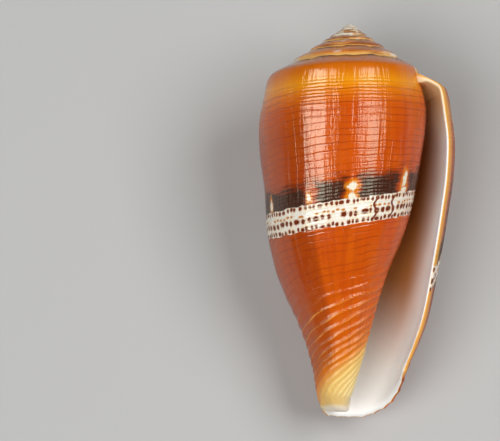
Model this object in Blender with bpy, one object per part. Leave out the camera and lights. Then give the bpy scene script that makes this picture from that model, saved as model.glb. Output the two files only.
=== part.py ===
import math

import bmesh
import bpy
from mathutils import Euler, Vector

# All sizes are metres and +Z is up. The shell lies on its back with the opening facing up, the pointed
# top (apex) towards +Y and the opening's outer edge (lip) on the +X side.

for old in list(bpy.data.objects):
    bpy.data.objects.remove(old, do_unlink=True)

MM = 0.001

# Coiling. A turn number of 0 is the lip, -1 is one whole turn back from it.
WHORL_GROWTH = 1.42
LIP_ANGLE = math.radians(-24.0)
FIRST_TURN = -8.25
STEPS_PER_TURN = 48

# Outline of the wall at the lip: distance below the apex, then distance from the axis.
SUTURE = 8.77 * MM
NEXT_SUTURE = SUTURE * WHORL_GROWTH
OUTLINE = [
    (8.77 * MM, 11.75 * MM),
    (9.75 * MM, 13.9 * MM),
    (10.4 * MM, 15.2 * MM),
    (11.3 * MM, 16.3 * MM),
    (12.45 * MM, 16.69 * MM),
    (15.0 * MM, 17.1 * MM),
    (21.0 * MM, 17.8 * MM),
    (25.1 * MM, 17.65 * MM),
    (33.2 * MM, 16.6 * MM),
    (41.4 * MM, 15.2 * MM),
    (49.5 * MM, 13.6 * MM),
    (53.5 * MM, 12.2 * MM),
    (57.6 * MM, 10.4 * MM),
    (65.7 * MM, 7.6 * MM),
    (74.7 * MM, 5.1 * MM),
    (81.8 * MM, 3.0 * MM),
    (88.9 * MM, 0.5 * MM),
]

# Lower margin of the last whorl: turn number, then distance below the apex.
MARGIN = [
    (-1.0, 62.6 * MM),
    (-0.8, 63.1 * MM),
    (-0.57, 62.9 * MM),
    (-0.42, 64.3 * MM),
    (-0.25, 64.3 * MM),
    (-0.14, 63.1 * MM),
    (-0.067, 61.0 * MM),
    (0.0, 57.9 * MM),
]

# Wall, hollow and central pillar.
# The wall is thin at the lip and the margin, thickest on the back of the last whorl and thin again in
# the older whorl.
LIP_THICKNESS = 0.6 * MM
EXTRA_THICKNESS = [
    (-1.3, 0.1 * MM),
    (-1.0, 0.2 * MM),
    (-0.7, 0.4 * MM),
    (-0.5, 0.8 * MM),
    (-0.37, 1.7 * MM),
    (-0.24, 2.3 * MM),
    (-0.11, 1.2 * MM),
    (0.0, 0.0),
]
MARGIN_THINNING = 0.75
ROOF_START = 14.9 * MM
OPEN_TURNS = 0.5
HOLLOW_TURNS = 1.0
FLOOR_LEVEL = 56.0 * MM
PILLAR_RADIUS = 0.7 * MM
TIP_DOME = 0.5 * MM

# Raised cords round the narrow end, and the swelling of the older half of the last whorl.
CORD_START = 51.0 * MM
CORD_FULL = 62.0 * MM
CORD_HEIGHT = 0.16 * MM
CORD_SPACING = 1.75 * MM
SHOULDER_SWELL = 0.033
FLANK_SWELL = 0.06
TIP_SWELL = 0.1

# How the shell lies: axis slope and roll about the axis. It rests on a strip of its back. The mesh columns
# inside the strip are left out of every whorl, so that the strip is flat across.
SEAT_STEPS = (32, 33, 34)
REST_PITCH = math.radians(7.9)
REST_ROLL = math.radians(-2.1)

SHELL_ORANGE = (0.45, 0.11, 0.01, 1.0)


def smooth_step(low, high, value):
    share = min(1.0, max(0.0, (value - low) / (high - low)))
    return share * share * (3.0 - 2.0 * share)


def curve_through(points, place):
    """Height of a smooth curve through the points, which rise in their first number."""
    last = len(points) - 1
    if place <= points[0][0]:
        return points[0][1]
    if place >= points[last][0]:
        return points[last][1]
    index = 0
    while place > points[index + 1][0]:
        index += 1

    def slope_between(first):
        rise = points[first + 1][1] - points[first][1]
        return rise / (points[first + 1][0] - points[first][0])

    def slope_at(at):
        before = slope_between(max(at - 1, 0))
        after = slope_between(min(at, last - 1))
        if before * after <= 0.0:
            return 0.0
        return 2.0 * before * after / (before + after)

    gap = points[index + 1][0] - points[index][0]
    share = (place - points[index][0]) / gap
    start_slope = slope_at(index) * gap
    end_slope = slope_at(index + 1) * gap
    start = points[index][1]
    end = points[index + 1][1]
    square = share * share
    cube = square * share
    return (
        start * (2.0 * cube - 3.0 * square + 1.0)
        + start_slope * (cube - 2.0 * square + share)
        + end * (3.0 * square - 2.0 * cube)
        + end_slope * (cube - square)
    )


def growth(turn):
    return WHORL_GROWTH**turn


def margin_level(turn):
    """Level of the lower margin on the lip's scale."""
    return curve_through(MARGIN, max(turn, -1.0)) / growth(turn)


def swell(turn, level):
    back = min(1.0, -turn)
    shoulder = smooth_step(NEXT_SUTURE, 21.5 * MM, level) * (1.0 - smooth_step(42.0 * MM, 53.0 * MM, level))
    older_half = smooth_step(0.25, 0.5, back) * (1.0 - smooth_step(0.68, 0.95, back))
    flank = smooth_step(33.0 * MM, 44.0 * MM, level) * (1.0 - smooth_step(55.0 * MM, 64.0 * MM, level))
    tip = smooth_step(69.0 * MM, 75.0 * MM, level)
    return 1.0 + SHOULDER_SWELL * back * shoulder + older_half * (FLANK_SWELL * flank + TIP_SWELL * tip)


def wall_point(turn, level, raised):
    """Distance from the axis and distance below the apex of a point on the outside."""
    scale = growth(turn)
    radius = scale * curve_through(OUTLINE, level) * swell(turn, level) + raised * CORD_HEIGHT
    return max(radius, PILLAR_RADIUS), scale * level


def in_space(turn, radius, depth):
    angle = LIP_ANGLE - 2.0 * math.pi * turn
    return Vector((radius * math.cos(angle), -depth, -radius * math.sin(angle)))


def levels_between(first, last, count):
    return [first + (last - first) * step / count for step in range(count + 1)]


# Levels of the mesh rows: the ramp between two sutures, the smooth flank, then crests and hollows of
# the cords in turn.
RAMP_LEVELS = levels_between(SUTURE, NEXT_SUTURE, 4)
FLANK_LEVELS = [ROOF_START] + levels_between(17.6 * MM, CORD_START, 10)
CORD_LEVELS = levels_between(CORD_START + 0.5 * CORD_SPACING, 88.2 * MM, 42)


def cord_share(index, level):
    """Crest and hollow rows take turns, and the cords fade in below the flank."""
    crest = 1.0 if index % 2 == 0 else 0.0
    return crest * (0.4 + 0.6 * smooth_step(CORD_START, CORD_FULL, level))


def wall_rows(turn):
    """Level and raised share of each row of the outside at one turn, down to the margin."""
    rows = [(level, 0.0) for level in RAMP_LEVELS + FLANK_LEVELS]
    rows += [(level, cord_share(index, level)) for index, level in enumerate(CORD_LEVELS)]
    end = margin_level(turn)
    rows = [row for row in rows if row[0] < end - 0.4 * MM]
    rows.append((end, 0.0))
    return rows


# Rows of the inner face and of the older whorl inside the hollow. Both have one on the hollow's floor.
INNER_LEVELS = [9.75 * MM, 10.6 * MM, 11.6 * MM, 13.2 * MM]
INNER_LEVELS += levels_between(17.0 * MM, FLOOR_LEVEL, 10) + levels_between(60.0 * MM, 80.0 * MM, 5)
PILLAR_LEVELS = [ROOF_START] + levels_between(17.6 * MM, FLOOR_LEVEL * WHORL_GROWTH, 14)


def hollow_point(turn, level):
    """The inner face of the wall, set in from the outside by the wall's thickness."""
    reach = 0.2 * MM
    above = wall_point(turn, level - reach, 0.0)
    below = wall_point(turn, level + reach, 0.0)
    middle = wall_point(turn, level, 0.0)
    along = Vector((below[0] - above[0], below[1] - above[1])).normalized()
    thinning = 1.0 - MARGIN_THINNING * smooth_step(45.0 * MM, 66.0 * MM, level)
    inset = LIP_THICKNESS + thinning * curve_through(EXTRA_THICKNESS, turn)
    return middle[0] - along.y * inset, middle[1] + along.x * inset


builder = bmesh.new()


def add_points(points):
    return [builder.verts.new(point) for point in points]


def add_face(corners):
    builder.faces.new(corners)


def zip_columns(left, left_places, right, right_places):
    """Fill the strip between two columns of points, in order of their places."""
    at_left = 0
    at_right = 0
    while at_left < len(left) - 1 or at_right < len(right) - 1:
        if at_left == len(left) - 1:
            step_left = False
            step_right = True
        elif at_right == len(right) - 1:
            step_left = True
            step_right = False
        else:
            gap = left_places[at_left + 1] - right_places[at_right + 1]
            step_left = gap < 0.3 * MM
            step_right = gap > -0.3 * MM
        corners = [left[at_left], right[at_right]]
        if step_right:
            at_right += 1
            corners.append(right[at_right])
        if step_left:
            at_left += 1
            corners.append(left[at_left])
        add_face(corners)


def column(turn, rows):
    points = []
    for level, raised in rows:
        radius, depth = wall_point(turn, level, raised)
        points.append(in_space(turn, radius, depth))
    return add_points(points), [row[0] for row in rows]


def turns_between(first, last):
    steps = range(round(first * STEPS_PER_TURN), round(last * STEPS_PER_TURN) + 1)
    return [step / STEPS_PER_TURN for step in steps if step % STEPS_PER_TURN not in SEAT_STEPS]


# The spire: every whorl shows only its ramp, and the next whorl covers the rest.
spire_rows = [(level, 0.0) for level in RAMP_LEVELS]
spire_turns = turns_between(FIRST_TURN, -1.0)
spire = [column(turn, spire_rows) for turn in spire_turns]
for left, right in zip(spire, spire[1:]):
    zip_columns(left[0], left[1], right[0], right[1])

# The apex closes the first turn of the spire with a small cone.
apex = add_points([Vector((0.0, 0.0, 0.0))])[0]
first_ring = [entry[0][0] for turn, entry in zip(spire_turns, spire) if turn <= FIRST_TURN + 1.0]
for left, right in zip(first_ring, first_ring[1:]):
    add_face([apex, left, right])
start_edge = spire[0][0]
for upper, lower in zip(start_edge, start_edge[1:]):
    add_face([apex, lower, upper])

# The last whorl, from its suture down to the lower margin.
body_turns = turns_between(-1.0, 0.0)
body = [column(turn, wall_rows(turn)) for turn in body_turns]
for left, right in zip(body, body[1:]):
    zip_columns(left[0], left[1], right[0], right[1])

# The hollow goes back one whole turn. Near the lip it is open down to the margin; further back it is a
# closed passage with a floor, and its mesh columns stand twice as far apart.
open_turns = turns_between(-OPEN_TURNS, 0.0)
deep_turns = turns_between(-HOLLOW_TURNS, -OPEN_TURNS)[:-1:2]
hollow_turns = deep_turns + open_turns
split = len(deep_turns)

# The older whorl goes on inside as the inner wall of the hollow and as the pillar.
pillar = []
for turn in hollow_turns[:-1]:
    end = margin_level(-1.0) * growth(-1.0) / growth(turn - 1.0)
    levels = list(PILLAR_LEVELS)
    if turn in open_turns:
        levels.append(end)
    pillar.append(column(turn - 1.0, [(level, 0.0) for level in levels]))
roof_row = len(RAMP_LEVELS)
pillar.append((body[0][0][roof_row:], body[0][1][roof_row:]))

# The inner face of the outer wall starts at the roof, where it meets the older whorl.
inner = []
for turn in hollow_turns:
    if turn in open_turns:
        end = margin_level(turn)
        levels = [level for level in INNER_LEVELS if level < end - 1.5 * MM] + [end]
    else:
        levels = [level for level in INNER_LEVELS if level <= FLOOR_LEVEL]
    points = [in_space(turn, *wall_point(turn - 1.0, ROOF_START, 0.0))]
    for level in levels:
        points.append(in_space(turn, *hollow_point(turn, level)))
    inner.append((add_points(points), [SUTURE] + levels))

# Skins of the two sides, first the closed passage and then the open part.
inner_floor = len([level for level in INNER_LEVELS if level <= FLOOR_LEVEL]) + 1
pillar_floor = len(PILLAR_LEVELS)
for step in range(len(hollow_turns) - 1):
    inner_rows = inner_floor if step < split else None
    pillar_rows = pillar_floor if step < split else None
    near = inner[step + 1]
    far = inner[step]
    zip_columns(near[0][:inner_rows], near[1][:inner_rows], far[0], far[1])
    near = pillar[step + 1]
    far = pillar[step]
    zip_columns(far[0], far[1], near[0][:pillar_rows], near[1][:pillar_rows])

# The lip: the edge of the wall between the outside and the inner face.
zip_columns(body[-1][0], body[-1][1], inner[-1][0], inner[-1][1])


def wall_across(turn, inner_part, pillar_part):
    """A wall that closes the hollow from its outer to its inner side."""
    inner_depths = [level * growth(turn) for level in inner_part[1]]
    pillar_depths = [level * growth(turn - 1.0) for level in pillar_part[1]]
    zip_columns(inner_part[0], inner_depths, pillar_part[0], pillar_depths)


# The far end of the passage, its floor, and the step where the open part begins.
wall_across(-HOLLOW_TURNS, inner[0], pillar[0])
for step in range(split):
    floor_far = [inner[step][0][inner_floor - 1], pillar[step][0][pillar_floor - 1]]
    floor_near = [pillar[step + 1][0][pillar_floor - 1], inner[step + 1][0][inner_floor - 1]]
    add_face(floor_far + floor_near)
step_inner = (inner[split][0][inner_floor - 1 :], inner[split][1][inner_floor - 1 :])
step_pillar = (pillar[split][0][pillar_floor - 1 :], pillar[split][1][pillar_floor - 1 :])
wall_across(-OPEN_TURNS, step_inner, step_pillar)

# The lower margin of the wall round the opening.
rim_outer = [entry[0][-1] for entry in body[-len(open_turns) :]]
rim_inner = [entry[0][-1] for entry in inner[split:]]
for step in range(len(open_turns) - 1):
    add_face([rim_outer[step], rim_outer[step + 1], rim_inner[step + 1], rim_inner[step]])

# The solid end of the pillar, domed a little round the axis.
solid_margin = [entry[0][-1] for entry in body[: len(body) - len(open_turns) + 1]]
pillar_margin = [entry[0][-1] for entry in pillar[split:]]
loop = solid_margin + [rim_inner[0]] + pillar_margin[:-1]
tip_depth = max(-vertex.co.y for vertex in pillar_margin) + TIP_DOME
tip = add_points([Vector((0.0, -tip_depth, 0.0))])[0]
for step in range(len(loop)):
    add_face([tip, loop[step], loop[(step + 1) % len(loop)]])

bmesh.ops.remove_doubles(builder, verts=builder.verts, dist=0.00001)
bmesh.ops.dissolve_degenerate(builder, edges=builder.edges, dist=0.00001)
bmesh.ops.triangulate(builder, faces=builder.faces)
bmesh.ops.recalc_face_normals(builder, faces=builder.faces)

# Lay the shell down and stand it on the floor, centred on the origin.
lie = Euler((REST_PITCH, 0.0, 0.0)).to_matrix() @ Euler((0.0, REST_ROLL, 0.0)).to_matrix()
for vertex in builder.verts:
    vertex.co = lie @ vertex.co
low = [min(vertex.co[axis] for vertex in builder.verts) for axis in range(3)]
high = [max(vertex.co[axis] for vertex in builder.verts) for axis in range(3)]
centre = Vector((0.5 * (low[0] + high[0]), 0.5 * (low[1] + high[1]), low[2]))
for vertex in builder.verts:
    vertex.co -= centre
for face in builder.faces:
    face.smooth = True

mesh = bpy.data.meshes.new("cone_shell")
builder.to_mesh(mesh)
builder.free()

material = bpy.data.materials.new("orange_shell")
material.use_nodes = True
principled = material.node_tree.nodes["Principled BSDF"]
principled.inputs["Base Color"].default_value = SHELL_ORANGE
principled.inputs["Roughness"].default_value = 0.25
mesh.materials.append(material)

shell = bpy.data.objects.new("cone_shell", mesh)
collection = bpy.data.collections.new("cone_shell")
bpy.context.scene.collection.children.link(collection)
collection.objects.link(shell)
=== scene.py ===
import math

import bmesh
import bpy
import numpy as np
from mathutils import Euler, Matrix, Vector


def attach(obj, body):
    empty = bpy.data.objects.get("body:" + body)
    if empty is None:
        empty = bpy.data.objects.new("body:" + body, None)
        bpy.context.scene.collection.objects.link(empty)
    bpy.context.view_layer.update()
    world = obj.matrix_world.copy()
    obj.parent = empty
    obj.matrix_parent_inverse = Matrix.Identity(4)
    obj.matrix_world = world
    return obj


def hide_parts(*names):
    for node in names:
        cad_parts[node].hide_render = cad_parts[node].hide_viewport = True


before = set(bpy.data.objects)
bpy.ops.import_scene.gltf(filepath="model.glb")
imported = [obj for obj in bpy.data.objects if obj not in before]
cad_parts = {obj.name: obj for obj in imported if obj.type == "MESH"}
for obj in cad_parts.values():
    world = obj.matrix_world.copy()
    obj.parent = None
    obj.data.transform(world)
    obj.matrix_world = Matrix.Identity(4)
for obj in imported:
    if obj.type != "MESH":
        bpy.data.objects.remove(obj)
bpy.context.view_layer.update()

bpy.ops.object.select_all(action="DESELECT")

MM = 0.001

# The cone shell: one coiled wall of hard, glossy aragonite. The animal adds to it at the lip, so that each
# turn is a steady share larger than the one before. It is all one piece, and lies on its back, opening up.
WHORL_GROWTH = 1.42
LIP_ANGLE = math.radians(-24.0)
FIRST_TURN = -8.25
SUTURE = 8.77
NEXT_SUTURE = SUTURE * WHORL_GROWTH
ROOF_START = 14.9
PILLAR_RADIUS = 0.7
APEX_DOME = 1.39
END_ROUNDING = 0.55
END_LENGTH = 1.6
REST_PITCH = math.radians(7.9)
REST_ROLL = math.radians(-2.1)
APEX_PLACE = (-0.0012813, 0.031577, 0.0184698)

# Turn 0 is the outer lip and turn -1 is one whole turn back from it. A level is a distance below the apex on
# the lip's scale, in mm, so the marks and cords keep one level all round. These are levels and radii.
OUTLINE = [
    (8.77, 11.75),
    (9.75, 13.9),
    (10.4, 15.2),
    (11.3, 16.3),
    (12.45, 16.69),
    (15.0, 17.1),
    (21.0, 17.8),
    (25.1, 17.65),
    (33.2, 16.6),
    (41.4, 15.2),
    (49.5, 13.6),
    (53.5, 12.2),
    (57.6, 10.4),
    (65.7, 7.6),
    (74.7, 5.1),
    (81.8, 3.0),
    (88.9, 0.5),
]

# Turns, and the depth in mm at which the wall ends there.
MARGIN = [
    (-1.0, 62.6),
    (-0.8, 63.1),
    (-0.57, 62.9),
    (-0.42, 64.3),
    (-0.25, 64.3),
    (-0.14, 63.1),
    (-0.067, 61.0),
    (0.0, 57.9),
]

# The wall is thin at the lip and gets thicker by these amounts, in mm, further back.
LIP_THICKNESS = 0.6
EXTRA_THICKNESS = [
    (-1.3, 0.1),
    (-1.0, 0.2),
    (-0.7, 0.4),
    (-0.5, 0.8),
    (-0.37, 1.7),
    (-0.24, 2.3),
    (-0.11, 1.2),
    (0.0, 0.0),
]

# Level of the middle of the white band round the last whorl.
BAND_LEVEL = [
    (-1.0, 43.0),
    (-0.8, 43.6),
    (-0.65, 43.0),
    (-0.567, 41.7),
    (-0.3, 40.9),
    (-0.067, 40.3),
    (0.0, 42.9),
]


def smooth_step(low, high, value):
    """0 up to the low value and 1 from the high one, with a soft step between them."""
    share = np.clip((value - low) / (high - low), 0.0, 1.0)
    return share * share * (3.0 - 2.0 * share)


def curve_through(points, place):
    """Smooth curve through points that rise in their first number, for an array of places."""
    across = np.array([point[0] for point in points])
    up = np.array([point[1] for point in points])
    steps = np.diff(up) / np.diff(across)
    before = np.append(steps[:1], steps)
    after = np.append(steps, steps[-1:])
    rising = before * after > 0.0
    slopes = np.where(rising, 2.0 * before * after / np.where(rising, before + after, 1.0), 0.0)
    place = np.clip(place, across[0], across[-1])
    left = np.clip(np.searchsorted(across, place, side="right") - 1, 0, len(points) - 2)
    gap = across[left + 1] - across[left]
    share = (place - across[left]) / gap
    square = share * share
    cube = square * share
    return (
        up[left] * (2.0 * cube - 3.0 * square + 1.0)
        + slopes[left] * gap * (cube - 2.0 * square + share)
        + up[left + 1] * (3.0 * square - 2.0 * cube)
        + slopes[left + 1] * gap * (cube - square)
    )


def growth(turn):
    """Size of the shell at a turn, as a share of its size at the lip."""
    return WHORL_GROWTH**turn


def margin_level(turn):
    """Level at which the wall ends below."""
    return curve_through(MARGIN, np.maximum(turn, -1.0)) / growth(turn)


SHOULDER_SWELL = 0.033
FLANK_SWELL = 0.06
TIP_SWELL = 0.1


def swell(turn, level):
    """The share by which the older parts of the last whorl are wider than the lip's outline."""
    back = np.minimum(1.0, -turn)
    shoulder = smooth_step(NEXT_SUTURE, 21.5, level) * (1.0 - smooth_step(42.0, 53.0, level))
    older_half = smooth_step(0.25, 0.5, back) * (1.0 - smooth_step(0.68, 0.95, back))
    flank = smooth_step(33.0, 44.0, level) * (1.0 - smooth_step(55.0, 64.0, level))
    tip = smooth_step(69.0, 75.0, level)
    return 1.0 + SHOULDER_SWELL * back * shoulder + older_half * (FLANK_SWELL * flank + TIP_SWELL * tip)


FIRST_CORD = 58.0
CORD_GROWTH = 24.5
CORD_CROWDING = 0.01852
CORD_HEIGHT = 0.17
RIPPLE_HEIGHT = 0.022


def cord_phase(level):
    """Counts the cords from the first one down. They crowd together towards the narrow end."""
    below_first = np.clip(level, 50.0, 88.0) - FIRST_CORD
    return -CORD_GROWTH * np.log(1.0 - CORD_CROWDING * below_first)


def cord_crest(turn, level):
    """1 on a cord's crest and 0 between the cords, which are worn flat just above the narrow end's edge."""
    wander = 0.16 * np.sin(9.0 * turn + 0.35 * level) + 0.07 * np.sin(41.0 * turn + 1.7 * level)
    wave = 0.5 + 0.5 * np.cos(2.0 * math.pi * (cord_phase(level) + wander))
    worn = smooth_step(-2.6, -0.6, level - margin_level(turn)) * (1.0 - smooth_step(-0.6, -0.5, turn))
    return wave**3 * smooth_step(53.0, 62.0, level) * (1.0 - 0.9 * worn)


def wall_point(turn, level):
    """Distance from the axis and below the apex of the outside, with its cords and growth ripples."""
    turn = np.asarray(turn, dtype=float)
    level = np.asarray(level, dtype=float)
    scale = growth(turn)
    radius = scale * curve_through(OUTLINE, level) * swell(turn, level)
    outside = smooth_step(-1.03, -1.0, turn)
    cords = CORD_HEIGHT * cord_crest(turn, level) * outside
    ripples = np.sin(58.0 * turn + 0.03 * level) + 0.6 * np.sin(131.0 * turn + 1.0)
    ripples = ripples * smooth_step(10.0, 15.0, level) * smooth_step(0.0, 0.03, turn + 1.0)
    ripples = RIPPLE_HEIGHT * ripples * outside
    depth = scale * level
    to_end = scale * (margin_level(turn) - level)
    end_side = smooth_step(-1.0, -0.95, turn) * (1.0 - smooth_step(-0.6, -0.5, turn))
    radius = radius - 2.0 * END_ROUNDING * end_side * (1.0 - smooth_step(-END_LENGTH, END_LENGTH, to_end))
    dome = np.sqrt(np.maximum(2.0 * APEX_DOME * depth - depth * depth, PILLAR_RADIUS**2))
    return np.maximum(radius + cords + ripples, dome), depth


def suture_wander(turn):
    """How far the seam between two whorls strays up and down, on the lip's scale."""
    waves = 0.14 * np.sin(45.9 * turn + 1.0) + 0.1 * np.sin(88.0 * turn) + 0.06 * np.sin(151.0 * turn)
    return waves * (1.0 - smooth_step(-0.06, 0.0, turn))


def in_space(turn, radius, depth):
    """Points in mm on the shell's own axes: the axis runs down -Y from the apex."""
    angle = LIP_ANGLE - 2.0 * math.pi * np.asarray(turn, dtype=float)
    return np.stack(np.broadcast_arrays(radius * np.cos(angle), -depth, -radius * np.sin(angle)), axis=-1)


# Every face keeps the turn and level of its corners for the marks, and how far each is inside the shell.
points = []
faces = []
corners = []


def add_points(places):
    """Add an array of points and give their numbers in the same layout."""
    flat = places.reshape(-1, 3)
    numbers = np.arange(len(points), len(points) + len(flat)).reshape(places.shape[:-1])
    points.extend(map(tuple, flat))
    return numbers


def add_face(ring, coil):
    faces.append([int(number) for number in ring])
    corners.extend(coil)


def add_grid(numbers, turns, levels, inside):
    """Faces between grid points whose rows run down the wall and whose columns run round it."""
    inside = np.broadcast_to(inside, numbers.shape)
    for row in range(numbers.shape[0] - 1):
        for column in range(numbers.shape[1] - 1):
            spots = [(row, column), (row, column + 1), (row + 1, column + 1), (row + 1, column)]
            coil = [(turns[spot], levels[spot], inside[spot]) for spot in spots]
            add_face([numbers[spot] for spot in spots], coil)


def line_of(numbers, turns, levels, inside, places):
    """A row or column of points with the turn, level, share inside and order of each."""
    turns, levels, inside, places = np.broadcast_arrays(turns, levels, inside, places)
    return list(zip(numbers, zip(turns, levels, inside), places))


def zip_lines(one, two):
    """Fill the strip between two lines of points, in the order of their places."""
    at_one = 0
    at_two = 0
    while at_one < len(one) - 1 or at_two < len(two) - 1:
        ring = [one[at_one], two[at_two]]
        one_goes_on = at_one < len(one) - 1
        two_is_done = at_two == len(two) - 1
        if one_goes_on and (two_is_done or one[at_one + 1][2] <= two[at_two + 1][2]):
            at_one += 1
            ring.append(one[at_one])
        else:
            at_two += 1
            ring.append(two[at_two])
        if len({entry[0] for entry in ring}) == 3:
            add_face([entry[0] for entry in ring], [entry[1] for entry in ring])


def seam_pull(turns, levels, places):
    """Move the top of a whorl's ramp onto the wandering seam on the whorl before it."""
    share = np.clip((levels - SUTURE) / (NEXT_SUTURE - SUTURE), 0.0, 1.0)
    seam = in_space(turns, *wall_point(turns - 1.0, NEXT_SUTURE + suture_wander(turns)))
    plain = in_space(turns, *wall_point(turns, np.full_like(turns, SUTURE)))
    return places + (seam - plain) * ((1.0 - share) ** 2)[..., None]


# The last whorl. Its rows run from the seam over the shoulder and down the flank to the lower margin.
BODY_COLUMNS = 288
RAMP_ROWS = 12
LIP_ROWS = 4
FLANK_ROWS = 206
body_turns = np.linspace(-1.0, 0.0, BODY_COLUMNS + 1)
upper_levels = np.append(
    np.linspace(SUTURE, NEXT_SUTURE, RAMP_ROWS + 1), np.linspace(NEXT_SUTURE, ROOF_START, LIP_ROWS + 1)[1:]
)
flank_shares = np.linspace(0.0, 1.0, FLANK_ROWS + 1)[1:]
body_levels = np.vstack(
    [
        np.repeat(upper_levels[:, None], BODY_COLUMNS + 1, axis=1),
        ROOF_START + (margin_level(body_turns)[None, :] - ROOF_START) * flank_shares[:, None],
    ]
)
body_grid = np.array(np.broadcast_to(body_turns, body_levels.shape))
body = add_points(seam_pull(body_grid, body_levels, in_space(body_grid, *wall_point(body_grid, body_levels))))
add_grid(body, body_grid, body_levels, 0.0)


# The spire: the earlier whorls, each covered by the next one from its seam down. The newest has as many
# columns as the last whorl and the older ones half as many.
def spire_grid(turns):
    shares = np.linspace(0.0, 1.0, RAMP_ROWS + 1)
    ends = NEXT_SUTURE + suture_wander(turns + 1.0)
    levels = SUTURE + (ends[None, :] - SUTURE) * shares[:, None]
    grid = np.array(np.broadcast_to(turns, levels.shape))
    return grid, levels, seam_pull(grid, levels, in_space(grid, *wall_point(grid, levels)))


new_grid, new_levels, new_places = spire_grid(np.linspace(-2.0, -1.0, BODY_COLUMNS + 1))
newest = np.zeros(new_grid.shape, dtype=int)
newest[:-1] = add_points(new_places[:-1])
newest[-1] = body[0]
newest[:, -1] = body[: RAMP_ROWS + 1, 0]
add_grid(newest, new_grid, new_levels, 0.0)

OLD_COLUMNS = BODY_COLUMNS // 2
old_count = round((-2.0 - FIRST_TURN) * OLD_COLUMNS)
old_grid, old_levels, old_places = spire_grid(np.linspace(FIRST_TURN, -2.0, old_count + 1))
older = np.zeros(old_grid.shape, dtype=int)
older[:-1] = add_points(old_places[:-1])
older[:, -1] = newest[:, 0]
older[-1, : -OLD_COLUMNS] = older[0, OLD_COLUMNS:]
covered = old_count - OLD_COLUMNS
add_grid(older[:, : covered + 1], old_grid[:, : covered + 1], old_levels[:, : covered + 1], 0.0)
add_grid(older[:-1, covered:], old_grid[:-1, covered:], old_levels[:-1, covered:], 0.0)
last_old = old_grid[-2, covered:]
old_row = line_of(older[-2, covered:], last_old, old_levels[-2, covered:], 0.0, last_old)
new_row = line_of(newest[0], new_grid[0] - 1.0, NEXT_SUTURE, 0.0, new_grid[0] - 1.0)
zip_lines(old_row, new_row)

# The first whorl is closed with a blunt dome.
APEX_RINGS = (0.75, 0.5, 0.25)
APEX_CORNER = (FIRST_TURN, SUTURE, 0.0)
first_ring = list(older[0, : OLD_COLUMNS + 1]) + list(older[::-1, 0])[:-1]
first_places = np.array([points[number] for number in first_ring])
ring = first_ring
for share in APEX_RINGS:
    next_ring = list(add_points(first_places * (share, share * share, share)))
    for step in range(len(ring)):
        after = (step + 1) % len(ring)
        add_face([ring[step], ring[after], next_ring[after], next_ring[step]], [APEX_CORNER] * 4)
    ring = next_ring
apex = add_points(np.array([[0.0, 0.0, 0.0]]))[0]
for step in range(len(ring)):
    add_face([apex, ring[step], ring[(step + 1) % len(ring)]], [APEX_CORNER] * 3)

# The hollow. Its outer side is the inner face of the last whorl and its inner side is the older whorl,
# which runs on inside as the pillar. It is open from the lip half a turn back and closed below further in.
OPEN_TURNS = 0.5
OPEN_COLUMNS = 96
DEEP_COLUMNS = 32
FLOOR_LEVEL = 56.0
ROOF_LEVELS = [9.75, 10.1, 10.6, 11.1, 11.6, 12.3, 13.2]
INNER_ROWS = 30
PILLAR_ROWS = 36
LOW_ROWS = 12
SLOPE_REACH = 0.2
hollow_turns = np.append(
    np.linspace(-1.0, -OPEN_TURNS, DEEP_COLUMNS + 1)[:-1], np.linspace(-OPEN_TURNS, 0.0, OPEN_COLUMNS + 1)
)
inner_top = np.append(ROOF_LEVELS, np.linspace(14.5, FLOOR_LEVEL, INNER_ROWS))
pillar_top = np.linspace(ROOF_START, FLOOR_LEVEL * WHORL_GROWTH, PILLAR_ROWS)
low_shares = np.linspace(0.0, 1.0, LOW_ROWS + 1)[1:]


def hollow_point(turn, level):
    """The inner face, set in from the outside by the wall's thickness."""
    scale = growth(turn)

    def plain(at):
        return scale * curve_through(OUTLINE, at) * swell(turn, at), scale * at

    upper = plain(level - SLOPE_REACH)
    lower = plain(level + SLOPE_REACH)
    across = lower[0] - upper[0]
    down = lower[1] - upper[1]
    size = np.hypot(across, down)
    thinning = 1.0 - 0.75 * smooth_step(45.0, 66.0, level)
    inset = LIP_THICKNESS + thinning * curve_through(EXTRA_THICKNESS, turn)
    middle = plain(level)
    return np.maximum(middle[0] - down / size * inset, PILLAR_RADIUS), middle[1] + across / size * inset


def hollow_levels(top, ends):
    """Levels of the rows down one side of the hollow, the last of them at its ends."""
    low = top[-1] + (ends[None, :] - top[-1]) * low_shares[:, None]
    return np.vstack([np.repeat(top[:, None], len(ends), axis=1), low])


inner_levels = hollow_levels(inner_top, margin_level(hollow_turns))
inner_grid = np.array(np.broadcast_to(hollow_turns, inner_levels.shape))
inner_places = in_space(inner_grid, *hollow_point(inner_grid, inner_levels))
pillar_end = MARGIN[0][1] / growth(hollow_turns - 1.0)
pillar_levels = hollow_levels(pillar_top, pillar_end)
pillar_grid = np.array(np.broadcast_to(hollow_turns - 1.0, pillar_levels.shape))
pillar_places = in_space(pillar_grid, *wall_point(pillar_grid, pillar_levels))

split = DEEP_COLUMNS
inner_floor = len(inner_top) - 1
pillar_floor = len(pillar_top) - 1
pillar = np.zeros(pillar_grid.shape, dtype=int)
pillar[: pillar_floor + 1, :split] = add_points(pillar_places[: pillar_floor + 1, :split])
pillar[:, split:-1] = add_points(pillar_places[:, split:-1])
roof_row = RAMP_ROWS + LIP_ROWS
pillar[0, -1] = body[roof_row, 0]
inner = np.zeros(inner_grid.shape, dtype=int)
inner[: inner_floor + 1, :split] = add_points(inner_places[: inner_floor + 1, :split])
inner[:, split:] = add_points(inner_places[:, split:])

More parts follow.
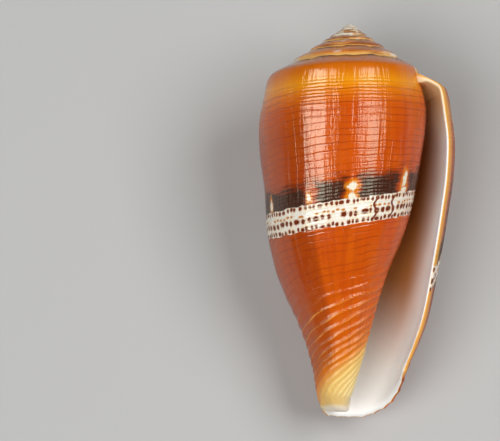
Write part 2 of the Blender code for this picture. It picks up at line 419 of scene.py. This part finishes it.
pillar_inside = smooth_step(-1.075, -1.12, pillar_grid)
for floor, numbers, grid, levels, inside, last in (
    (inner_floor, inner, inner_grid, inner_levels, np.ones(inner_grid.shape), None),
    (pillar_floor, pillar, pillar_grid, pillar_levels, pillar_inside, -1),
):
    closed_part = (slice(0, floor + 1), slice(0, split + 1))
    open_part = (slice(None), slice(split, last))
    for part in (closed_part, open_part):
        add_grid(numbers[part], grid[part], levels[part], inside[part])
zip_lines(
    line_of(pillar[0], hollow_turns, ROOF_START, pillar_inside[0], hollow_turns),
    line_of(inner[0], hollow_turns, SUTURE, 1.0, hollow_turns),
)
pillar_side = pillar_levels[:, -2]
zip_lines(
    line_of(pillar[:, -2], pillar_grid[:, -2], pillar_side, pillar_inside[:, -2], pillar_side),
    line_of(body[roof_row:, 0], -1.0, body_levels[roof_row:, 0], 0.0, body_levels[roof_row:, 0]),
)


def wall_across(column, inner_rows, pillar_rows):
    """A wall from the outer to the inner side of the hollow, along one column of points."""
    turn = hollow_turns[column]
    inner_depths = inner_levels[inner_rows, column] * growth(turn)
    pillar_depths = pillar_levels[pillar_rows, column] * growth(turn - 1.0)
    zip_lines(
        line_of(inner[inner_rows, column], turn, SUTURE, 1.0, inner_depths),
        line_of(pillar[pillar_rows, column], turn, SUTURE, 1.0, pillar_depths),
    )


wall_across(0, slice(0, inner_floor + 1), slice(0, pillar_floor + 1))
wall_across(split, slice(inner_floor, None), slice(pillar_floor, None))
floor_turns = hollow_turns[: split + 1]
zip_lines(
    line_of(inner[inner_floor, : split + 1], floor_turns, SUTURE, 1.0, floor_turns),
    line_of(pillar[pillar_floor, : split + 1], floor_turns, SUTURE, 1.0, floor_turns),
)

# The rounded edge of the lip and of the lower margin: three lines of points between the two faces. At the
# top of the lip they end on the older whorl.
EDGE_ANGLES = np.radians([45.0, 90.0, 135.0])
EDGE_WHITE = [0.0, 0.5, 1.0]
DOWNWARD = np.array([0.0, -1.0, 0.0])


def onward(turn):
    """The way in which the shell grows, square to the axis."""
    angle = LIP_ANGLE - 2.0 * math.pi * np.asarray(turn, dtype=float)
    return np.stack([np.sin(angle), np.zeros_like(angle), np.cos(angle)], axis=-1)


def edge_points(outer_side, inner_side, ways, bulge):
    """Three lines of points in a half circle from the outer side to the inner one, bulging in those ways."""
    middle = 0.5 * (outer_side + inner_side)
    half = 0.5 * (outer_side - inner_side)
    ways = ways / np.linalg.norm(ways, axis=-1, keepdims=True)
    out = ways * np.linalg.norm(half, axis=-1, keepdims=True) * np.reshape(bulge, (-1, 1))
    return np.stack([middle + half * math.cos(angle) + out * math.sin(angle) for angle in EDGE_ANGLES])


lip_levels = inner_levels[:, -1]
lip_outer = in_space(np.zeros_like(lip_levels), *wall_point(np.zeros_like(lip_levels), lip_levels))
lip_ways = onward(np.zeros_like(lip_levels)) + smooth_step(52.0, 57.9, lip_levels)[:, None] * DOWNWARD
lip_edge = np.zeros((3, len(lip_levels) + 1), dtype=int)
lip_edge[:, 0] = body[RAMP_ROWS + 1 : roof_row, 0]
lip_bulge = smooth_step(9.0, 12.0, lip_levels)
lip_edge[:, 1:] = add_points(edge_points(lip_outer, inner_places[:, -1], lip_ways, lip_bulge))
lip_places = np.append(SUTURE, lip_levels)
lip_lines = [line_of(body[:, -1], 0.0, body_levels[:, -1], 0.0, body_levels[:, -1])]
for numbers, share in zip(lip_edge, EDGE_WHITE):
    lip_lines.append(line_of(numbers, 0.0, lip_places, share, lip_places))
lip_lines += [line_of(np.append(body[roof_row, 0], inner[:, -1]), 0.0, lip_places, 1.0, lip_places)]

rim_turns = hollow_turns[split:]
rim_levels = margin_level(rim_turns)
rim_outer = in_space(rim_turns, *wall_point(rim_turns, rim_levels))
rim_ways = DOWNWARD + smooth_step(-0.05, 0.0, rim_turns)[:, None] * onward(rim_turns)
rim_edge = np.zeros((3, len(rim_turns)), dtype=int)
rim_edge[:, -1] = lip_edge[:, -1]
rim_places = edge_points(rim_outer, inner_places[-1, split:], rim_ways, np.ones_like(rim_turns))
rim_edge[:, :-1] = add_points(rim_places[:, :-1])
open_body = BODY_COLUMNS // 2
open_turns = body_turns[open_body:]
rim_lines = [line_of(body[-1, open_body:], open_turns, body_levels[-1, open_body:], 0.0, open_turns)]
for numbers, share in zip(rim_edge, EDGE_WHITE):
    rim_lines.append(line_of(numbers, rim_turns, rim_levels, share, rim_turns))
rim_lines += [line_of(inner[-1, split:], rim_turns, rim_levels, 1.0, rim_turns)]
for lines in (lip_lines, rim_lines):
    for one, two in zip(lines, lines[1:]):
        zip_lines(one, two)

# The solid end of the pillar closes the narrow end with a low dome. Its level is past all others, so that
# it has a colour of its own.
END_RINGS = (0.03, 0.1, 0.2, 0.34, 0.52, 0.74)
END_DROP = 0.45
CAP_LEVEL = 92.0
loop = list(body[-1, : open_body + 1]) + list(rim_edge[:, 0])
loop += [inner[-1, split]] + list(pillar[-1, split:-1])
loop_places = np.array([points[number] for number in loop])
tip_place = np.array([0.0, loop_places[:, 1].min() - END_DROP, 0.0])
loop_turns = np.full(len(loop), -1.0)
loop_turns[: open_body + 1] = body_turns[: open_body + 1]
loop_levels = np.full(len(loop), CAP_LEVEL)
loop_levels[: open_body + 1] = body_levels[-1, : open_body + 1]
for share in END_RINGS:
    drop = math.sqrt(1.0 - (1.0 - share) ** 2)
    ring_places = loop_places + (tip_place - loop_places) * (share, drop, share)
    ring = list(add_points(ring_places))
    ring_levels = 0.5 * (loop_levels + CAP_LEVEL)
    for step in range(len(loop)):
        after = (step + 1) % len(loop)
        spots = [(step, loop_levels), (after, loop_levels), (after, ring_levels), (step, ring_levels)]
        coil = [(loop_turns[step], spot_levels[spot], 0.0) for spot, spot_levels in spots]
        add_face([loop[step], loop[after], ring[after], ring[step]], coil)
    loop = ring
    loop_levels = ring_levels
tip = add_points(tip_place[None])[0]
for step in range(len(loop)):
    add_face([loop[step], loop[(step + 1) % len(loop)], tip], [(loop_turns[step], CAP_LEVEL, 0.0)] * 3)

# Lay the shell on its back and press it flat where it touches the floor.
lie = np.array(Euler((REST_PITCH, 0.0, 0.0)).to_matrix() @ Euler((0.0, REST_ROLL, 0.0)).to_matrix())
places = np.array(points) * MM @ lie.T + np.array(APEX_PLACE)
places[:, 2] = np.maximum(places[:, 2], 0.0)
mesh = bpy.data.meshes.new("cone_shell")
mesh.from_pydata(places.tolist(), [], faces)

# The fields that the marks are painted from, kept at each corner of each face.
MARK_TURN = 2.0 * math.pi * 15.0
turns, levels, inside = np.array(corners).T
from_band = growth(turns) * (levels - curve_through(BAND_LEVEL, np.clip(turns, -1.0, 0.0)))


def span_field(turn, first, last):
    """Distance in mm inside a span of turns, less than nothing outside it."""
    return MARK_TURN * np.minimum(turn - first, last - turn)


# The turns between which there is a dark blotch.
DARK_SPANS = [
    (-1.05, -0.97),
    (-0.9356, -0.835),
    (-0.807, -0.744),
    (-0.722, -0.488),
    (-0.444, -0.413),
    (-0.371, -0.3186),
    (-0.3056, -0.2825),
    (-0.253, 0.05),
]
BLOTCH_TOP = 5.5
dark = np.max([span_field(turns, first, last) for first, last in DARK_SPANS], axis=0)
dark = np.clip(np.minimum(dark, np.minimum(from_band + BLOTCH_TOP, -from_band)), -4.0, 4.0)

# White flecks above the band: turn, distance from the band, half length along the turn and half height.
FLECKS = [
    (-0.821, -4.05, 1.05, 0.75),
    (-0.821, -2.3, 1.0, 0.75),
    (-0.954, -3.9, 0.75, 1.5),
    (-0.955, -2.3, 0.9, 0.7),
    (-0.729, -3.1, 0.45, 0.9),
    (-0.464, -3.9, 0.45, 0.6),
    (-0.617, -3.2, 0.6, 1.1),
]
flecks = []
for turn, offset, half_length, half_height in FLECKS:
    along = (turns - turn) * MARK_TURN / half_length
    flecks.append(1.0 - np.hypot(along, (from_band - offset) / half_height))
fleck = np.clip(np.max(flecks, axis=0), -2.0, 1.0)

crests = cord_crest(turns, levels) * (1.0 - smooth_step(0.0, 0.8, levels - margin_level(turns)))
for name, values in (
    ("coil", (turns, levels, from_band)),
    ("marks", (dark, crests, fleck)),
    ("inside", (inside, inside, inside)),
):
    attribute = mesh.attributes.new(name, "FLOAT_VECTOR", "CORNER")
    attribute.data.foreach_set("vector", np.stack(values, axis=-1).ravel())

builder = bmesh.new()
builder.from_mesh(mesh)
bmesh.ops.remove_doubles(builder, verts=builder.verts, dist=0.001 * MM)
bmesh.ops.dissolve_degenerate(builder, edges=builder.edges, dist=0.0001 * MM)
bmesh.ops.recalc_face_normals(builder, faces=builder.faces)
for face in builder.faces:
    face.smooth = True
builder.to_mesh(mesh)
builder.free()
mesh.set_sharp_from_angle(angle=math.radians(60.0))
shell = bpy.data.objects.new("cone_shell", mesh)
bpy.context.scene.collection.objects.link(shell)

# The shell's surface is hard and polished like porcelain. Its markings are all worked out from the turn, the
# level and the fields.
material = bpy.data.materials.new("cone_shell")
material.use_nodes = True
nodes = material.node_tree.nodes
links = material.node_tree.links
principled = nodes["Principled BSDF"]


def colour(red, green, blue):
    """A colour in steps of 0 to 255 as a screen shows it."""
    return tuple(((step / 255.0 + 0.055) / 1.055) ** 2.4 for step in (red, green, blue)) + (1.0,)


def put(socket, value):
    """Link an output to a socket, or set the socket to a plain value."""
    if isinstance(value, bpy.types.NodeSocket):
        links.new(value, socket)
    else:
        socket.default_value = value


def calc(operation, *values):
    node = nodes.new("ShaderNodeMath")
    node.operation = operation
    for socket, value in zip(node.inputs, values):
        put(socket, value)
    return node.outputs[0]


def times(*values):
    """The product of two or more values or outputs."""
    product = values[0]
    for value in values[1:]:
        product = calc("MULTIPLY", product, value)
    return product


def plus(one, two):
    return calc("ADD", one, two)


def minus(one, two):
    return calc("SUBTRACT", one, two)


def above(value, edge, width):
    """0 below the edge and 1 above it, with a soft step of that width."""
    node = nodes.new("ShaderNodeMapRange")
    node.interpolation_type = "SMOOTHSTEP"
    put(node.inputs["Value"], value)
    put(node.inputs["From Min"], edge - 0.5 * width)
    put(node.inputs["From Max"], edge + 0.5 * width)
    return node.outputs["Result"]


def below(value, edge, width):
    """1 below the edge and 0 above it, with a soft step of that width."""
    return minus(1.0, above(value, edge, width))


def noise(across, down, seed, detail=2.0):
    """Noise from 0 to 1 with one lump per unit of its two coordinates."""
    place = nodes.new("ShaderNodeCombineXYZ")
    put(place.inputs["X"], across)
    put(place.inputs["Y"], down)
    put(place.inputs["Z"], seed)
    node = nodes.new("ShaderNodeTexNoise")
    node.inputs["Scale"].default_value = 1.0
    node.inputs["Detail"].default_value = detail
    links.new(place.outputs["Vector"], node.inputs["Vector"])
    return above(node.outputs["Fac"], 0.5, 0.6)


def paint(share, under, over):
    """The colour under with that share of the colour over on top of it."""
    node = nodes.new("ShaderNodeMix")
    node.data_type = "RGBA"
    put(node.inputs["Factor"], share)
    put(node.inputs["A"], under)
    put(node.inputs["B"], over)
    return node.outputs["Result"]


def parts_of(name):
    """The three values that the mesh keeps under a name."""
    attribute = nodes.new("ShaderNodeAttribute")
    attribute.attribute_name = name
    split_up = nodes.new("ShaderNodeSeparateXYZ")
    links.new(attribute.outputs["Vector"], split_up.inputs["Vector"])
    return split_up.outputs


# The distance along the turns is in mm at the widest part.
TURN_LENGTH = 94.0
turn, level, offset = parts_of("coil")
dark_field, crest, fleck_field = parts_of("marks")
inside_share = parts_of("inside")[0]
along = times(turn, TURN_LENGTH)

# Ground colour from the seam to the narrow end, by level, and the paler spire and apex.
GROUND = [
    (8.8, (150, 74, 14)),
    (10.0, (196, 98, 12)),
    (12.4, (212, 108, 6)),
    (15.2, (246, 158, 12)),
    (17.5, (230, 120, 5)),
    (20.5, (206, 80, 2)),
    (38.0, (202, 70, 1)),
    (56.0, (204, 76, 2)),
    (69.0, (210, 88, 3)),
    (74.0, (226, 122, 12)),
    (77.0, (246, 206, 116)),
    (82.0, (250, 226, 156)),
    (87.0, (244, 234, 196)),
    (91.0, (252, 252, 240)),
]
ground = nodes.new("ShaderNodeValToRGB")
ramp = ground.color_ramp.elements
while len(ramp) < len(GROUND):
    ramp.new(0.5)
for element, (place, shade) in zip(ramp, GROUND):
    element.position = place / CAP_LEVEL
    element.color = colour(*shade)
links.new(calc("DIVIDE", level, CAP_LEVEL), ground.inputs["Fac"])
base = ground.outputs["Color"]
on_spire = times(below(turn, -1.0, 0.001), below(level, 12.9, 0.2))
base = paint(times(on_spire, 0.6), base, colour(226, 130, 26))
early = times(below(turn, -3.4, 2.2), on_spire)
base = paint(times(early, 0.8), base, colour(214, 160, 104))
base = paint(times(below(turn, -6.0, 1.8), 0.95), base, colour(208, 204, 188))

# Uneven colour: broad patches, one darker stretch of the whorl, growth streaks along the axis and fine spiral
# threads. The darker stretch is partly the shell's own colour up to a scar line and partly painted shade.
THREAD_GAP = 1.5
patches = noise(times(along, 0.2), times(level, 0.08), 3.0)
orange_part = below(level, 73.0, 5.0)
base = paint(times(patches, orange_part, 0.35), base, colour(228, 116, 8))
# A darker stretch of the whorl: partly its own colour, partly painted shade on this flank.
dark_stretch_and_shade = times(above(turn, -0.735, 0.02), below(turn, -0.52, 0.1))
dark_stretch_and_shade = times(dark_stretch_and_shade, above(level, 22.0, 12.0), orange_part)
base = paint(times(dark_stretch_and_shade, 0.42), base, colour(120, 40, 4))
streaks = noise(times(along, 0.7), times(level, 0.05), 7.0, 3.0)
streaks = times(above(streaks, 0.66, 0.5), above(level, 18.0, 5.0), orange_part)
base = paint(times(streaks, 0.22), base, colour(150, 50, 8))
wander = noise(times(along, 0.14), times(level, 0.1), 11.0)
thread_place = plus(calc("DIVIDE", level, THREAD_GAP), times(wander, 0.45))
thread = calc("ABSOLUTE", minus(calc("FRACT", thread_place), 0.5))
thread_row = times(calc("FLOOR", thread_place), 7.3)
strength = noise(times(along, 0.12), thread_row, 5.0)
threads = times(below(thread, 0.07, 0.1), above(strength, 0.35, 0.5))
threads = times(threads, above(level, 15.5, 2.0), below(level, 58.0, 8.0))
base = paint(times(threads, 0.48), base, colour(134, 38, 10))

# Thin pale crests of the cords at the narrow end, and deeper colour between them.
valleys = times(below(crest, 0.3, 0.4), above(level, 75.0, 4.0), 0.3)
base = paint(valleys, base, colour(222, 146, 56))
crest_noise = noise(times(along, 0.4), times(level, 0.3), 73.0)
crest_lines = times(above(crest, 0.88, 0.24), plus(0.3, times(crest_noise, 0.5)))
base = paint(crest_lines, base, colour(250, 176, 72))

# The seam: a dark broken line of painted shade in the crease under it, and a pale rim above it.
seam_noise = noise(times(along, 0.8), 0.5, 2.0)
# A dark line of painted shade in the crease just under the seam.
seam_shade_line = below(minus(level, times(seam_noise, 0.32)), 9.05, 0.3)
base = paint(times(seam_shade_line, 0.92), base, colour(70, 26, 8))
rim_noise = noise(times(turn, 6.0), 0.5, 61.0)
rim_line = times(above(plus(level, rim_noise), 12.0, 1.4), on_spire)
base = paint(times(rim_line, 0.7), base, colour(250, 204, 122))

# White and brown patches on the spire.
spire_noise = noise(times(turn, 6.0), times(level, 0.3), 9.0)
oldest_most = minus(spire_noise, times(turn, 0.05))
pale = times(above(oldest_most, 0.88, 0.2), on_spire)
base = paint(times(pale, 0.85), base, colour(248, 238, 218))
brown = times(below(spire_noise, 0.46, 0.3), on_spire, below(level, 12.1, 0.8))
brown = times(brown, below(turn, -1.8, 0.6), above(turn, -6.3, 1.0))
base = paint(times(brown, 0.85), base, colour(150, 70, 20))

# Dark blotches in a row along the upper edge of the white band, brushed out along the turn.
lumps = noise(times(along, 0.22), times(offset, 0.8), 17.0, 3.0)
brush = noise(times(along, 0.12), times(offset, 3.0), 19.0)
ragged = plus(times(minus(lumps, 0.5), 1.6), minus(brush, 0.5))
dark_edge = plus(dark_field, ragged)
blotch = above(dark_edge, 0.3, 1.3)
base = paint(times(above(dark_edge, -0.5, 1.6), 0.75), base, colour(140, 48, 6))
base = paint(times(blotch, 0.94), base, colour(56, 22, 8))
glow = noise(along, times(offset, 0.9), 23.0, 3.0)
fleck_edge = plus(fleck_field, times(minus(glow, 0.5), 0.75))
base = paint(times(above(fleck_edge, -0.4, 0.8), 0.8), base, colour(232, 140, 20))
base = paint(above(fleck_edge, 0.12, 0.3), base, colour(246, 236, 214))

# The white band with its rows of spots and three brown streaks across it.
BAND_HALF_WIDTH = 2.03
band_wave = noise(times(along, 0.9), 0.5, 29.0)
band_edge = plus(calc("ABSOLUTE", offset), times(minus(band_wave, 0.5), 0.3))
band = times(below(band_edge, BAND_HALF_WIDTH, 0.14), above(turn, -1.2, 0.02))
off_band = minus(1.0, band)
cream_share = noise(times(along, 0.6), offset, 31.0)
base = paint(band, base, paint(cream_share, colour(252, 248, 240), colour(244, 228, 198)))


def astray(chance):
    """How far a random value from 0 to 1 moves a spot to either side of its place."""
    return times(minus(chance, 0.5), 0.3)


def spot_row(base, row, per_turn, half_length, half_height, presence, seed, shade):
    """One row of spots: its place, how many fill a turn, their half sizes in mm, the share that is there."""
    shift = noise(times(along, 0.35), seed, 37.0)
    count = plus(times(turn, per_turn), plus(times(shift, 0.9), seed))
    cell = nodes.new("ShaderNodeCombineXYZ")
    links.new(calc("FLOOR", count), cell.inputs["X"])
    cell.inputs["Y"].default_value = seed
    random = nodes.new("ShaderNodeTexWhiteNoise")
    random.noise_dimensions = "2D"
    links.new(cell.outputs["Vector"], random.inputs["Vector"])
    chance = nodes.new("ShaderNodeSeparateXYZ")
    links.new(random.outputs["Color"], chance.inputs["Vector"])
    sideways = plus(minus(calc("FRACT", count), 0.5), astray(chance.outputs["X"]))
    sideways = calc("DIVIDE", times(sideways, TURN_LENGTH / per_turn), half_length)
    upward = plus(minus(offset, row), astray(chance.outputs["Y"]))
    upward = calc("DIVIDE", upward, half_height)
    squares = plus(times(sideways, sideways), times(upward, upward))
    distance = calc("SQRT", squares)
    ragged = noise(times(along, 3.2), times(offset, 3.2), seed)
    distance = plus(distance, times(minus(ragged, 0.5), 0.35))
    there = times(calc("LESS_THAN", chance.outputs["Z"], presence), band)
    halo = times(below(distance, 1.35, 0.5), there)
    base = paint(times(halo, 0.5), base, colour(205, 140, 80))
    return paint(times(below(distance, 0.95, 0.35), there), base, shade)


base = spot_row(base, -1.6, 88.0, 0.36, 0.34, 0.95, 1.3, colour(118, 42, 10))
base = spot_row(base, -0.48, 84.0, 0.32, 0.17, 0.75, 5.7, colour(204, 128, 46))
base = spot_row(base, 0.34, 66.0, 0.5, 0.42, 0.97, 9.1, colour(112, 38, 8))
base = spot_row(base, 1.68, 86.0, 0.38, 0.34, 0.97, 13.9, colour(118, 42, 8))
STREAK_TURNS = (-0.876, -0.925, -0.187)
for streak_turn in STREAK_TURNS:
    bend = times(calc("SINE", times(offset, 2.6)), 0.4)
    gap = calc("ABSOLUTE", plus(minus(along, TURN_LENGTH * streak_turn), bend))
    reach = below(calc("ABSOLUTE", offset), 1.75, 0.3)
    base = paint(times(below(gap, 0.3, 0.25), reach), base, colour(122, 46, 12))

# On its outer side the lip is golden at the edge and dark brown just behind it, darkest halfway down; the
# dark brown is partly the shell's own colour and partly painted shade where the lip turns away at its
# outline.
lip_gold = above(turn, -0.011, 0.014)
# Dark brown behind the edge, partly the shell's own colour and partly painted shade at the lip's outline.
lip_dark_and_shade = times(above(turn, -0.068, 0.03), below(turn, -0.019, 0.012))
lip_noise = noise(times(level, 1.1), times(along, 0.8), 67.0, 3.0)
lip_middle = times(above(level, 26.0, 8.0), below(level, 48.0, 6.0))
lip_brown_and_shade = plus(times(lip_noise, 0.6), times(lip_middle, 0.4))
lip_brown_and_shade = times(lip_dark_and_shade, off_band, plus(0.15, lip_brown_and_shade))
base = paint(times(lip_gold, off_band, 0.85), base, colour(240, 170, 66))
base = paint(lip_brown_and_shade, base, colour(84, 30, 8))

# Inside, the shell is white at the lip and warm brown further in; the brown is partly the shell's own stain
# and partly painted shade deep in the hollow, and it gives way under the roof to a paler warm beige, painted
# lighter where light comes in. The outside's colours turn over the lip's edge, with a golden seam between
# them and the white.
# Brown deeper in, partly the shell's own stain and partly painted shade, left out under the roof where light
# comes in.
deep_stain_and_shade = times(above(level, 15.0, 8.0), below(level, 54.0, 22.0), below(turn, -0.115, 0.09))
white = paint(deep_stain_and_shade, colour(251, 249, 246), colour(192, 124, 66))
white = paint(times(below(level, 16.0, 10.0), 0.75), white, colour(255, 206, 140))
rim_share = minus(inside_share, times(above(level, 48.0, 12.0), 0.42))
base = paint(above(rim_share, 0.06, 0.1), base, colour(246, 196, 104))
base = paint(above(rim_share, 0.18, 0.16), base, white)
links.new(base, principled.inputs["Base Color"])

# Spiral grooves, finer waves between them and growth lines along the shell break up the gloss.
WAVE_HEIGHT = 0.014
GROOVE_DEPTH = 0.03
GROWTH_LINE_HEIGHT = 0.03
CREST_HEIGHT = 0.05
CREASE_DEPTH = 0.016
HAIR_LINE_HEIGHT = 0.013
WRINKLE_HEIGHT = 0.05
flat_below = minus(1.0, times(above(level, 46.0, 6.0), 0.75))
wave_noise = noise(times(along, 0.5), times(level, 0.3), 43.0)
wave_place = plus(times(level, 8.4), times(wave_noise, 2.2))
wave_zones = plus(above(calc("ABSOLUTE", minus(level, 29.0)), 6.5, 5.0), 0.25)
waves = times(calc("SINE", wave_place), wave_zones, flat_below, WAVE_HEIGHT)
grooves = times(below(thread, 0.09, 0.16), flat_below, -GROOVE_DEPTH)
growth_lines = noise(times(along, 0.8), times(level, 0.06), 47.0, 3.0)
crease_noise = noise(times(along, 0.35), times(level, 0.05), 59.0, 3.0)
creases = below(calc("ABSOLUTE", minus(crease_noise, 0.5)), 0.035, 0.05)
hair_lines = noise(times(along, 3.4), times(level, 0.12), 53.0)
grain = times(plus(waves, grooves), above(level, 15.0, 3.0))
growth_height = plus(0.025, times(flat_below, GROWTH_LINE_HEIGHT))
grain = plus(grain, times(growth_lines, growth_height))
grain = plus(grain, times(crest, CREST_HEIGHT))
grain = minus(grain, times(creases, CREASE_DEPTH))
grain = plus(grain, times(hair_lines, HAIR_LINE_HEIGHT))
wrinkles = times(noise(along, times(level, 0.7), 71.0), above(level, 67.0, 8.0))
grain = plus(grain, times(wrinkles, WRINKLE_HEIGHT))
grain = times(grain, minus(1.0, inside_share))
bump = nodes.new("ShaderNodeBump")
bump.inputs["Strength"].default_value = 1.0
bump.inputs["Distance"].default_value = MM
links.new(grain, bump.inputs["Height"])
links.new(bump.outputs["Normal"], principled.inputs["Normal"])

# The gloss is uneven, duller on the blotches, on the lip's outer side and inside.
SMOOTHEST = 0.09
gloss = noise(times(turn, 99.0), times(level, 0.9), 41.0)
roughness = plus(SMOOTHEST, times(gloss, 0.08))
lip_side = times(above(turn, -0.09, 0.03), below(inside_share, 0.3, 0.3))
roughness = plus(roughness, times(lip_side, 0.3))
roughness = plus(roughness, times(blotch, off_band, 0.12))
roughness = plus(roughness, times(inside_share, 0.3))
links.new(roughness, principled.inputs["Roughness"])
principled.inputs["IOR"].default_value = 1.65
principled.inputs["Specular Tint"].default_value = (0.9, 0.96, 0.76, 1.0)

# The thin lip lets some light through to its inner side.
lip_glow = times(inside_share, above(turn, -0.1, 0.12))
links.new(times(lip_glow, 0.8), principled.inputs["Subsurface Weight"])
principled.inputs["Subsurface Radius"].default_value = (1.0, 0.8, 0.7)
principled.inputs["Subsurface Scale"].default_value = 2.6 * MM
mesh.materials.append(material)
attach(shell, "root")
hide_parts("cone_shell")

# The pale floor that the shell lies on: one flat sheet of matt card, wide enough to fill the view.
bpy.ops.mesh.primitive_plane_add(size=3.0)
floor = bpy.context.object
floor.name = "floor"
floor_material = bpy.data.materials.new("pale_floor")
floor_material.use_nodes = True
floor_shader = floor_material.node_tree.nodes["Principled BSDF"]
floor_shader.inputs["Base Color"].default_value = (0.5, 0.5, 0.49, 1.0)
floor_shader.inputs["Roughness"].default_value = 0.9
floor_shader.inputs["Specular IOR Level"].default_value = 0.1
floor.data.materials.append(floor_material)

# The camera looks down on the opening, with the shell where the photo has its front view. The apex is at a
# pixel of the photo, and a pixel is a length on the shell.
VIEW_PITCH = math.radians(-7.0)
VIEW_ROLL = 0.0131
PIXEL = 0.0001655
PHOTO_SIZE = (500.0, 441.0)
APEX_PIXEL = (350.0, 24.0)
DISTANCE = 0.6
tilt = Matrix(lie.tolist())
towards = tilt @ Vector((0.0, math.sin(VIEW_PITCH), math.cos(VIEW_PITCH)))
sideways = Vector((1.0, VIEW_ROLL * math.cos(VIEW_PITCH), -VIEW_ROLL * math.sin(VIEW_PITCH)))
right = (tilt @ sideways).normalized()
up = towards.cross(right)
pixels_right = 0.5 * PHOTO_SIZE[0] - APEX_PIXEL[0]
pixels_down = 0.5 * PHOTO_SIZE[1] - APEX_PIXEL[1]
target = Vector(APEX_PLACE) + pixels_right * PIXEL * right - pixels_down * PIXEL * up
camera_data = bpy.data.cameras.new("camera")
camera_data.lens = camera_data.sensor_width * DISTANCE / (PHOTO_SIZE[0] * PIXEL)
camera = bpy.data.objects.new("camera", camera_data)
facing = Matrix((right, up, towards)).transposed().to_4x4()
camera.matrix_world = Matrix.Translation(target + towards * DISTANCE) @ facing
bpy.context.scene.collection.objects.link(camera)
bpy.context.scene.camera = camera

# Two tall soft boxes beside the camera and a wide fill from the left. The left box only shows in the gloss,
# and the fill only lights. For each: degrees to the right, rise, width, height, distance and power.
middle = Vector((0.0, 0.0, 0.015))
BOXES = [
    ("left_box", -40.0, 0.3, 0.46, 0.68, 0.8, 6.6),
    ("right_box", 37.5, 0.3, 0.42, 0.68, 0.8, 4.6),
    ("fill", -24.0, -0.15, 0.6, 0.6, 1.0, 6.8),
]
for name, degrees, raised, width, height, distance, power in BOXES:
    angle = math.radians(degrees)
    outward = (towards * math.cos(angle) + right * math.sin(angle) + raised * up).normalized()
    across = up.cross(outward).normalized()
    light_data = bpy.data.lights.new(name, "AREA")
    light_data.shape = "RECTANGLE"
    light_data.size = width
    light_data.size_y = height
    light_data.energy = power
    light = bpy.data.objects.new(name, light_data)
    light.visible_diffuse = name != "left_box"
    light.visible_glossy = name != "fill"
    light_facing = Matrix((across, outward.cross(across), outward)).transposed().to_4x4()
    light.matrix_world = Matrix.Translation(middle + outward * distance) @ light_facing
    bpy.context.scene.collection.objects.link(light)
world = bpy.data.worlds.new("surround")
world.use_nodes = True
world.node_tree.nodes["Background"].inputs["Color"].default_value = (1.0, 1.0, 1.0, 1.0)
world.node_tree.nodes["Background"].inputs["Strength"].default_value = 0.06
bpy.context.scene.world = world
bpy.context.scene.view_settings.view_transform = "Standard"

bpy.context.view_layer.update()
